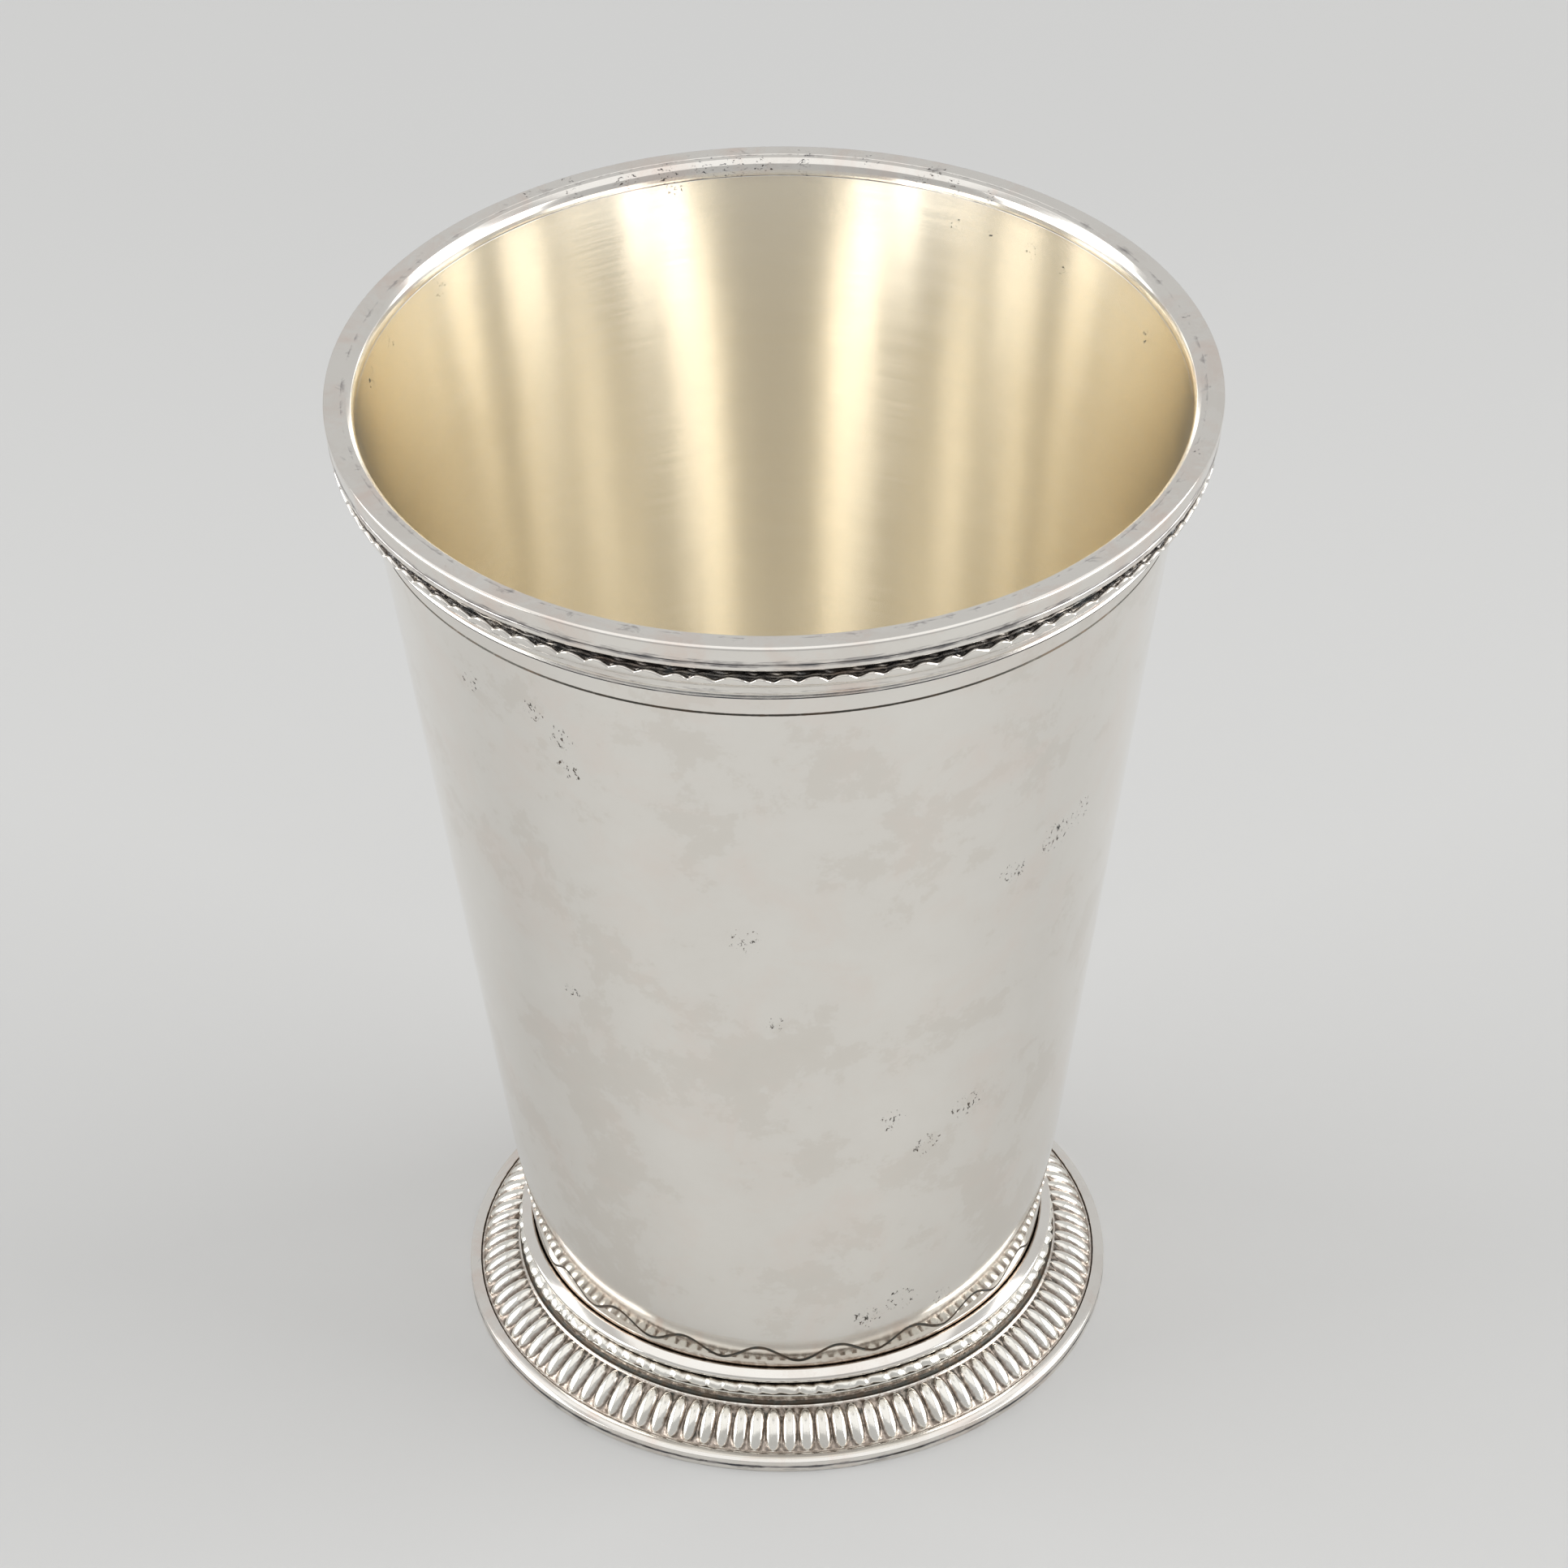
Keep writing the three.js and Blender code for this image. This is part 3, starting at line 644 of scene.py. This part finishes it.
def makeCollar():
    collar = {"thickness": 0.63, "step": 0.6, "lift": 0.3, "swell": 3.0, "solder": 0.1, "groove": 1.3,
              # out from the face, up from the foot line, fillet, oxide
              "foot": ((0.17, -0.08, 0.03, 0.9), (0.22, 0, 0.03, 0.1), (0, 0.19, 0.03, 0.1),
                       (0.03, 0.4, 0, 0.3))}
    low, high = heights("collar_band")
    inner = [wallRadius(z) + collar["solder"] for z in (low, high)]
    outer = inner[1] + collar["thickness"]
    face = inner[0] + collar["step"]
    foot = low + collar["lift"]
    section = [(inner[0], low, 0, 1), (face + 0.08, low, 0.03, 1)]
    section += [(face + out, foot + up, fillet, oxide) for out, up, fillet, oxide in collar["foot"]]
    section += [(outer, low + collar["swell"], 1, 0.1), (outer, high - collar["groove"], 0, 0.55),
                (outer, high, 0, 0.6), (inner[1], high, 0, 1)]
    finishPiece(turned("collarBand", section, satinSterling, 600), "collar_band")


makeRim()
makeCollar()


# Worked wires: a ring whose section rises and falls in lobes, each a little different

def workedTree(material):
    tree, given = newTree("Worked wire", {"Count": 1, "Rise": 1.0, "Swell": 1.0, "Uneven": 0.0, "Wander": 0.0,
                                          "Sharpness": 1.0, "Seed": 1})
    value = given.outputs
    read = {name: addNode(tree, "GeometryNodeInputNamedAttribute", {"Name": name}, data_type="FLOAT")
            for name in ("angle", "radius", "height", "swell", "rise", "gap", "notch", "slant")}
    cosine = addNode(tree, "ShaderNodeMath", (read["angle"],), operation="COSINE")
    sine = addNode(tree, "ShaderNodeMath", (read["angle"],), operation="SINE")
    # lobes of uneven length, some standing prouder than others
    around = addNode(tree, "ShaderNodeCombineXYZ", {"X": cosine, "Y": sine, "Z": value["Seed"]})
    drift = addNode(tree, "ShaderNodeTexNoise", {"Vector": around, "Scale": 9, "Detail": 2})
    fromMean = addNode(tree, "ShaderNodeMath", (drift, 0.5), operation="SUBTRACT")
    wander = addNode(tree, "ShaderNodeMath", (fromMean, value["Wander"]), operation="MULTIPLY")
    share = addNode(tree, "ShaderNodeMath", (read["angle"], 2 * math.pi), operation="DIVIDE")
    lobes = addNode(tree, "ShaderNodeMath", (share, value["Count"], wander), operation="MULTIPLY_ADD")
    phase = addNode(tree, "ShaderNodeMath", (lobes, read["slant"]), operation="ADD")
    halfTurns = addNode(tree, "ShaderNodeMath", (phase, math.pi), operation="MULTIPLY")
    swing = addNode(tree, "ShaderNodeMath", (halfTurns,), operation="SINE")
    wave = addNode(tree, "ShaderNodeMath", (swing,), operation="ABSOLUTE")
    lobe = addNode(tree, "ShaderNodeMath", (wave, value["Sharpness"]), operation="POWER")
    whole = addNode(tree, "ShaderNodeMath", (phase,), operation="FLOOR")
    number = addNode(tree, "ShaderNodeMath", (whole, value["Count"]), operation="FLOORED_MODULO")
    least = addNode(tree, "ShaderNodeMath", (1, value["Uneven"]), operation="SUBTRACT")
    chance = addNode(tree, "FunctionNodeRandomValue", {2: least, 3: 1.0, "ID": number, "Seed": value["Seed"]},
                     data_type="FLOAT")
    amount = addNode(tree, "ShaderNodeMath", (lobe, chance.outputs[1]), operation="MULTIPLY")
    swelling = addNode(tree, "ShaderNodeMath", (amount, value["Swell"]), operation="MULTIPLY")
    rising = addNode(tree, "ShaderNodeMath", (amount, value["Rise"]), operation="MULTIPLY")
    radius = addNode(tree, "ShaderNodeMath", (swelling, read["swell"], read["radius"]),
                     operation="MULTIPLY_ADD")
    height = addNode(tree, "ShaderNodeMath", (rising, read["rise"], read["height"]),
                     operation="MULTIPLY_ADD")
    x = addNode(tree, "ShaderNodeMath", (cosine, radius), operation="MULTIPLY")
    y = addNode(tree, "ShaderNodeMath", (sine, radius), operation="MULTIPLY")
    point = addNode(tree, "ShaderNodeCombineXYZ", {"X": x, "Y": y, "Z": height})
    place = addNode(tree, "ShaderNodeVectorMath", {0: point, "Scale": mm}, operation="SCALE")
    moved = addNode(tree, "GeometryNodeSetPosition", {"Geometry": value["Geometry"], "Position": place})
    lowness = addNode(tree, "ShaderNodeMath", (1, amount), operation="SUBTRACT")
    gap = addNode(tree, "ShaderNodeMath", (lowness, read["notch"], read["gap"]), operation="MULTIPLY_ADD")
    named = addNode(tree, "GeometryNodeStoreNamedAttribute", {"Geometry": moved, "Name": "gap", "Value": gap},
                    data_type="FLOAT")
    closeTree(tree, named, material)
    return tree


def makeWorked(name, node, section, wire, material):
    # section rows: radius, height, share of the swell, share of the rise, oxide, oxide in the notches,
    # and how far round the lobes lean there, in lobes
    rows, columns = np.array(section), wire["columns"]
    angle = np.linspace(0, 2 * math.pi, columns, endpoint=False)
    spread = {key: np.repeat(rows[:, i], columns)
              for i, key in enumerate(("radius", "height", "swell", "rise", "gap", "notch", "slant"))}
    piece = meshPiece(name, np.zeros((len(rows) * columns, 3)), ringFaces(len(rows), columns), [],
                      angle=np.tile(angle, len(rows)), **spread)
    bakeTree(piece, workedTree(material), {
        "Count": wire["count"], "Rise": wire["rise"], "Swell": wire["swell"], "Uneven": wire["uneven"],
        "Wander": wire["wander"], "Sharpness": wire["sharpness"], "Seed": wire["seed"]})
    finishPiece(piece, node)


def makeScallops():
    # out from the back, up from the foot of the wire, then as makeWorked says
    wire = {"count": 104, "rise": 0.78, "swell": 0.24, "uneven": 0.3, "wander": 1.1, "sharpness": 1.1,
            "seed": 3, "columns": 1664, "backing": 0.83, "section": (
                (0, 0.05, 0, 0, 1, 0, 0), (0.35, -0.05, 0, 0, 0.8, 0, 0), (0.75, 0.3, 0.2, 0, 0.15, 0.1, 0),
                (1.0, 0.65, 0.5, 0.1, 0.05, 0.1, 0.05), (1.16, 0.8, 0.8, 0.5, 0, 0.1, 0.1),
                (1.26, 1.0, 1, 0.9, 0, 0, 0.18), (1.28, 1.07, 1, 1, 0, 0, 0.22),
                (1.24, 1.14, 1, 1, 0, 0, 0.22), (0.98, 1.3, 0.9, 1, 0, 0.1, 0.2),
                (0.92, 1.29, 0.8, 0.95, 0.15, 0.2, 0.2), (0.8, 1.05, 0.5, 0.7, 0.55, 0.2, 0.1),
                (0.4, 0.95, 0.2, 0.3, 0.6, 0, 0), (0, 1.0, 0, 0, 0.7, 0, 0))}
    low = heights("scallop_wire")[0]
    inner = wallRadius(heights("collar_band")[1]) + wire["backing"]
    section = [(inner + out, low + up, *rest) for out, up, *rest in wire["section"]]
    makeWorked("scallopWire", "scallop_wire", section, wire, scallopedSterling)


def makeRope():
    # out from the back as a share of the reach, up from the foot of the wire, then as makeWorked says
    wire = {"count": 90, "rise": 0.24, "swell": 0.45, "uneven": 0.45, "wander": 1.6, "sharpness": 0.85,
            "seed": 8, "columns": 1260, "solder": 0.1, "section": (
                (0, 0, 0, 0, 1, 0, 0), (0.62, 0, 0, 0, 1, 0, 0), (0.78, 0.1, 0.6, 0, 0.9, 0.4, -0.2),
                (0.86, 0.28, 1, 0, 0.25, 0.5, -0.12), (0.87, 0.42, 1, 0.2, 0, 0.4, 0),
                (0.84, 0.6, 1, 0.5, 0, 0.3, 0.08), (0.5, 1, 0.75, 1, 0.05, 0.4, 0.18),
                (0.4, 1.05, 0, 0.8, 0.7, 0, 0.2), (0, 1.37, 0, 0, 1, 0, 0))}
    low = heights("rope_wire")[0]
    inner = nodeRadius(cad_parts["foot_flange"], heights("foot_flange")[1]) + wire["solder"]
    reach = outerRadius("rope_wire") - inner
    section = [(inner + reach * out, low + up, *rest) for out, up, *rest in wire["section"]]
    makeWorked("ropeWire", "rope_wire", section, wire, oxidisedSterling)


makeScallops()
makeRope()


# Plain wire above the rope, with a sloping top and a round nose

def makeBaseRing():
    # radius of the nose, slope of the top in degrees, and the narrow flat against the wall
    ring = {"nose": 0.47, "steps": 12, "slope": 60, "flat": 0.28, "solder": 0.1, "tarnish": 0.7}
    low, high = heights("base_ring")
    inner, outer = wallRadius(high) + ring["solder"], outerRadius("base_ring")
    nose, slopeTurn = ring["nose"], math.radians(ring["slope"])
    section = [(inner, low, 0, 1)]
    for step in range(ring["steps"] + 1):
        turn = slopeTurn - (slopeTurn + math.pi / 2) * (1 - step / ring["steps"])
        section.append((outer - nose + nose * math.cos(turn), low + nose + nose * math.sin(turn), 0,
                        max(0, ring["tarnish"] - step / 3)))
    noseEnd, slopeEnd = section[-1][0], inner + ring["flat"]
    slopeTop = section[-1][1] + (noseEnd - slopeEnd) / math.tan(slopeTurn)
    section += [(slopeEnd + 0.05, slopeTop - 0.03, 0, 0), (slopeEnd, slopeTop, 0, 0),
                (inner, slopeTop, 0, 0.2)]
    finishPiece(turned("baseRing", section, burnishedSterling), "base_ring")


makeBaseRing()


# Foot: flange with its gadroons, and the wire round its edge

flange = {"gadroonTop": 5.05, "borderHeight": 1.65, "border": 0.25, "shoulder": 1.75, "sheet": 0.95,
          "sleeve": 1.1, "undercut": 1.1, "chamfer": 0.08, "ridge": 0.6,
          # out from the ridge's middle, up from it, oxide
          "ridgeRows": ((0.05, 0.11, 0.35), (-0.04, 0.12, 0.4), (-0.1, 0.06, 1)),
          # in from the shoulder, height, oxide
          "shoulderRows": ((0.1, 5.09, 1), (0.18, 5.3, 0.7), (0.13, 5.85, 0.35), (0.04, 6.1, 0.2),
                           (0.15, 6.15, 0.35))}
# width and relief in mm; tip is the least share of the width, fill the most of the pitch that a lobe takes
gadroon = {"count": 112, "width": 1.87, "relief": 0.82, "inset": 0.12, "taper": 1.05, "blunt": 3, "tip": 0.1,
           "crown": 0.75, "round": 0.4, "uneven": 0.16, "lean": 0.12, "fill": 0.97, "plainShare": 0.8,
           # the crease shares set real oxide at the lobes' feet plus painted shade up their sides, heavier at
           # the inner end
           "seed": 5, "oxideAndShadeFrom": 0.65, "oxideAndShadeInner": 0.9, "oxideAndShadeOuter": 0.74, "flatPaler": 0.15,
           "columns": (-1, -0.86, -0.5, 0, 0.5, 0.86, 1),
           "rows": (0, 0.02, 0.07, 0.17, 0.33, 0.52, 0.71, 0.86, 0.95, 0.985, 1)}


def gadroonTree(material):
    # a ring of flats becomes a ring of leaf-shaped lobes, each a little different
    names = ["Inner Radius", "Inner Height", "Outer Radius", "Outer Height", "Width", "Relief", "Taper",
             "Blunt", "Tip", "Crown", "Round", "Uneven"]
    tree, given = newTree("Gadroons", {**{name: 1.0 for name in names}, "Count": 1, "Seed": 1})
    value = given.outputs
    read = {name: addNode(tree, "GeometryNodeInputNamedAttribute", {"Name": name}, data_type="FLOAT")
            for name in ("lobe", "across", "along", "flat", "radius", "height", "gap")}
    across = read["across"]
    onLobe = addNode(tree, "FunctionNodeCompare", {"A": read["along"], "B": 0.0}, operation="GREATER_EQUAL")
    share = addNode(tree, "ShaderNodeClamp", (read["along"],))
    # three chances for each lobe: its width, its lean and its relief
    least = addNode(tree, "ShaderNodeMath", (1, value["Uneven"]), operation="SUBTRACT")
    narrowing = addNode(tree, "ShaderNodeMath", (value["Uneven"], 0.6), operation="MULTIPLY")
    narrowest = addNode(tree, "ShaderNodeMath", (1, narrowing), operation="SUBTRACT")
    chances = {}
    ranges = (("width", narrowest, 1.0), ("lean", -gadroon["lean"], gadroon["lean"]), ("relief", least, 1.0))
    for extra, (key, lowest, highest) in enumerate(ranges, 1):
        seed = addNode(tree, "ShaderNodeMath", (value["Seed"], extra), operation="ADD")
        chances[key] = addNode(tree, "FunctionNodeRandomValue", {
            2: lowest, 3: highest, "ID": read["lobe"], "Seed": seed}, data_type="FLOAT").outputs[1]
    # tongue outline, round at both ends
    tapered = addNode(tree, "ShaderNodeMath", (share, value["Taper"]), operation="POWER")
    centred = addNode(tree, "ShaderNodeMath", (tapered, 2, -1), operation="MULTIPLY_ADD")
    fromMiddle = addNode(tree, "ShaderNodeMath", (centred,), operation="ABSOLUTE")
    blunted = addNode(tree, "ShaderNodeMath", (fromMiddle, value["Blunt"]), operation="POWER")
    rest = addNode(tree, "ShaderNodeMath", (1, blunted), operation="SUBTRACT")
    some = addNode(tree, "ShaderNodeMath", (rest, 0.0), operation="MAXIMUM")
    leaf = addNode(tree, "ShaderNodeMath", (some, 0.5), operation="POWER")
    outline = addNode(tree, "ShaderNodeMath", (leaf, value["Tip"]), operation="MAXIMUM")
    fullWidth = addNode(tree, "ShaderNodeMath", (chances["width"], value["Width"]), operation="MULTIPLY")
    lobeWidth = addNode(tree, "ShaderNodeMath", (outline, fullWidth), operation="MULTIPLY")
    wholeWay = addNode(tree, "ShaderNodeMath", (read["radius"], 2 * math.pi), operation="MULTIPLY")
    pitch = addNode(tree, "ShaderNodeMath", (wholeWay, value["Count"]), operation="DIVIDE")
    filled = addNode(tree, "ShaderNodeMath", (lobeWidth, pitch), operation="DIVIDE")
    width = addNode(tree, "ShaderNodeMath", (filled, gadroon["fill"]), operation="MINIMUM")
    width = addNode(tree, "ShaderNodeMix", {"Factor": onLobe, "A": gadroon["plainShare"], "B": width})
    aside = addNode(tree, "ShaderNodeMath", (across, width), operation="MULTIPLY")
    side = addNode(tree, "ShaderNodeMix", {"Factor": read["flat"], "A": aside, "B": 1.0})
    fromHalf = addNode(tree, "ShaderNodeMath", (share, 0.5), operation="SUBTRACT")
    lean = addNode(tree, "ShaderNodeMath", (fromHalf, chances["lean"]), operation="MULTIPLY")
    notFlat = addNode(tree, "ShaderNodeMath", (1, read["flat"]), operation="SUBTRACT")
    place = addNode(tree, "ShaderNodeMath", (read["lobe"], 2, side), operation="MULTIPLY_ADD")
    steps = addNode(tree, "ShaderNodeMath", (lean, notFlat, place), operation="MULTIPLY_ADD")
    halfTurns = addNode(tree, "ShaderNodeMath", (steps, math.pi), operation="MULTIPLY")
    angle = addNode(tree, "ShaderNodeMath", (halfTurns, value["Count"]), operation="DIVIDE")
    # round across, and standing square to the slope of the foot
    acrossSquare = addNode(tree, "ShaderNodeMath", (across, across), operation="MULTIPLY")
    below = addNode(tree, "ShaderNodeMath", (1, acrossSquare), operation="SUBTRACT")
    inside = addNode(tree, "ShaderNodeMath", (below, 0.0), operation="MAXIMUM")
    arch = addNode(tree, "ShaderNodeMath", (inside, value["Round"]), operation="POWER")
    fourth = addNode(tree, "ShaderNodeMath", (share, 4), operation="MULTIPLY")
    left = addNode(tree, "ShaderNodeMath", (1, share), operation="SUBTRACT")
    hump = addNode(tree, "ShaderNodeMath", (fourth, left), operation="MULTIPLY")
    crown = addNode(tree, "ShaderNodeMath", (hump, value["Crown"]), operation="POWER")
    relief = addNode(tree, "ShaderNodeMath", (chances["relief"], value["Relief"]), operation="MULTIPLY")
    crowned = addNode(tree, "ShaderNodeMath", (crown, relief), operation="MULTIPLY")
    arched = addNode(tree, "ShaderNodeMath", (arch, crowned), operation="MULTIPLY")
    lift = addNode(tree, "ShaderNodeMath", (arched, onLobe), operation="MULTIPLY")
    reach = addNode(tree, "ShaderNodeMath", (value["Outer Radius"], value["Inner Radius"]),
                    operation="SUBTRACT")
    fall = addNode(tree, "ShaderNodeMath", (value["Inner Height"], value["Outer Height"]),
                   operation="SUBTRACT")
    slope = addNode(tree, "ShaderNodeMath", (fall, reach), operation="ARCTAN2")
    outward = addNode(tree, "ShaderNodeMath", (slope,), operation="SINE")
    upward = addNode(tree, "ShaderNodeMath", (slope,), operation="COSINE")
    radius = addNode(tree, "ShaderNodeMath", (lift, outward, read["radius"]), operation="MULTIPLY_ADD")
    height = addNode(tree, "ShaderNodeMath", (lift, upward, read["height"]), operation="MULTIPLY_ADD")
    # oxide lies along the foot of each lobe and on the flats between, most at the inner end; the same mask
    # reaches up the lobes' sides as painted shade, standing in for the dark neighbours they reflect, and the
    # extra at the inner end is partly painted shadow under the rope
    fromCrest = addNode(tree, "ShaderNodeMath", (across,), operation="ABSOLUTE")
    crease = addNode(tree, "ShaderNodeMapRange", {"Value": fromCrest, "From Min": gadroon["oxideAndShadeFrom"]})
    depth = addNode(tree, "ShaderNodeMapRange", {
        "Value": share, "To Min": gadroon["oxideAndShadeInner"], "To Max": gadroon["oxideAndShadeOuter"]})
    lobeOxideAndShade = addNode(tree, "ShaderNodeMath", (crease, depth), operation="MULTIPLY")
    paler = addNode(tree, "ShaderNodeMath", (read["flat"], -gadroon["flatPaler"], 1.0),
                    operation="MULTIPLY_ADD")
    tarnish = addNode(tree, "ShaderNodeMath", (lobeOxideAndShade, paler), operation="MULTIPLY")
    gap = addNode(tree, "ShaderNodeMix", {"Factor": onLobe, "A": read["gap"], "B": tarnish})
    marked = addNode(tree, "GeometryNodeStoreNamedAttribute", {
        "Geometry": value["Geometry"], "Name": "gap", "Value": gap}, data_type="FLOAT")
    cosine = addNode(tree, "ShaderNodeMath", (angle,), operation="COSINE")
    sine = addNode(tree, "ShaderNodeMath", (angle,), operation="SINE")
    x = addNode(tree, "ShaderNodeMath", (cosine, radius), operation="MULTIPLY")
    y = addNode(tree, "ShaderNodeMath", (sine, radius), operation="MULTIPLY")
    point = addNode(tree, "ShaderNodeCombineXYZ", {"X": x, "Y": y, "Z": height})
    placed = addNode(tree, "ShaderNodeVectorMath", {0: point, "Scale": mm}, operation="SCALE")
    moved = addNode(tree, "GeometryNodeSetPosition", {"Geometry": marked, "Position": placed})
    closeTree(tree, moved, material)
    return tree


def makeFlange():
    low, high = heights("foot_flange")
    outer = outerRadius("foot_flange")
    sleeve = nodeRadius(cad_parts["foot_flange"], high)
    shoulder = sleeve + flange["shoulder"]
    start = Vector((shoulder, flange["gadroonTop"]))
    end = Vector((outer - flange["border"], flange["borderHeight"]))
    first = start.lerp(end, gadroon["inset"])
    bore, under, chamfer = sleeve - flange["sleeve"], start.y - flange["sheet"], flange["chamfer"]
    # radius, height, oxide, and how far along the lobes; -1 where there are none
    rows = [
        (bore, high, 0, -1), (bore, under, 0, -1), (bore + flange["undercut"], under, 0, -1),
        (end.x - flange["sheet"] / 2, low, 0, -1), (outer - chamfer, low, 0.5, -1),
        (outer, low + chamfer, 0.5, -1), (outer, end.y - 0.05, 0.85, -1), (outer - 0.05, end.y, 0.65, -1),
        (end.x + 0.08, end.y + 0.01, 0.45, -1)]
    for share in reversed(gadroon["rows"]):
        at = first.lerp(end, share)
        rows.append((at.x, at.y, 0.7, share))
    ridge = start.lerp(first, flange["ridge"])
    rows.append((first.x - 0.04, first.y + 0.03, 0.6, -1))
    rows += [(ridge.x + out, ridge.y + up, oxide, -1) for out, up, oxide in flange["ridgeRows"]]
    rows += [(shoulder - back, z, oxide, -1) for back, z, oxide in flange["shoulderRows"]]
    rows += [(sleeve, rows[-1][1], 1, -1), (sleeve, high, 1, -1)]
    across = list(gadroon["columns"]) + [1]
    flat = [0] * len(gadroon["columns"]) + [1]
    count, each = gadroon["count"], len(across)
    rows = np.array(rows)
    spread = {key: np.repeat(rows[:, i], count * each)
              for i, key in enumerate(("radius", "height", "gap", "along"))}
    points = np.zeros((len(rows) * count * each, 3))
    piece = meshPiece("footFlange", points, ringFaces(len(rows), count * each), [],
                      lobe=np.tile(np.repeat(np.arange(count), each), len(rows)),
                      across=np.tile(across, len(rows) * count),
                      flat=np.tile(flat, len(rows) * count), **spread)
    inputs = {key.capitalize(): gadroon[key] for key in (
        "width", "relief", "taper", "blunt", "tip", "crown", "round", "uneven", "count", "seed")}
    bakeTree(piece, gadroonTree(oxidisedSterling), {
        "Inner Radius": first.x, "Inner Height": first.y, "Outer Radius": end.x, "Outer Height": end.y,
        **inputs})
    finishPiece(piece, "foot_flange")


def makeEdge():
    wire = {"width": 1.35,
            # in from the outside, up from the table, fillet, oxide; a worn dark line runs round the side
            "side": ((0, 0, 0.12, 0.3), (0, 0.5, 0, 0.3), (0.01, 0.62, 0, 0.78), (0.01, 0.8, 0, 0.78),
                     (0, 0.92, 0, 0.3)),
            # in from the outside, down from the top, fillet, oxide
            "shoulder": ((0, 0.66, 0, 0.1), (0.05, 0.38, 0.07, 0)),
            # out from the inside, down from the top, fillet, oxide
            "top": ((0.93, 0.14, 0.05, 0), (0.72, 0.07, 0.05, 0), (0.5, 0.03, 0.05, 0), (0.2, 0, 0, 0),
                    (0.06, 0.02, 0.02, 0), (0, 0.12, 0.03, 0.3))}
    low, high = heights("foot_edge")
    outer = outerRadius("foot_edge")
    inner = outer - wire["width"]
    section = [(inner, low, 0.05, 0)]
    section += [(outer - back, low + up, fillet, oxide) for back, up, fillet, oxide in wire["side"]]
    section += [(outer - back, high - down, fillet, oxide) for back, down, fillet, oxide in wire["shoulder"]]
    section += [(inner + out, high - down, fillet, oxide) for out, down, fillet, oxide in wire["top"]]
    finishPiece(turned("footEdge", section, satinSterling, 600), "foot_edge")


makeFlange()
makeEdge()
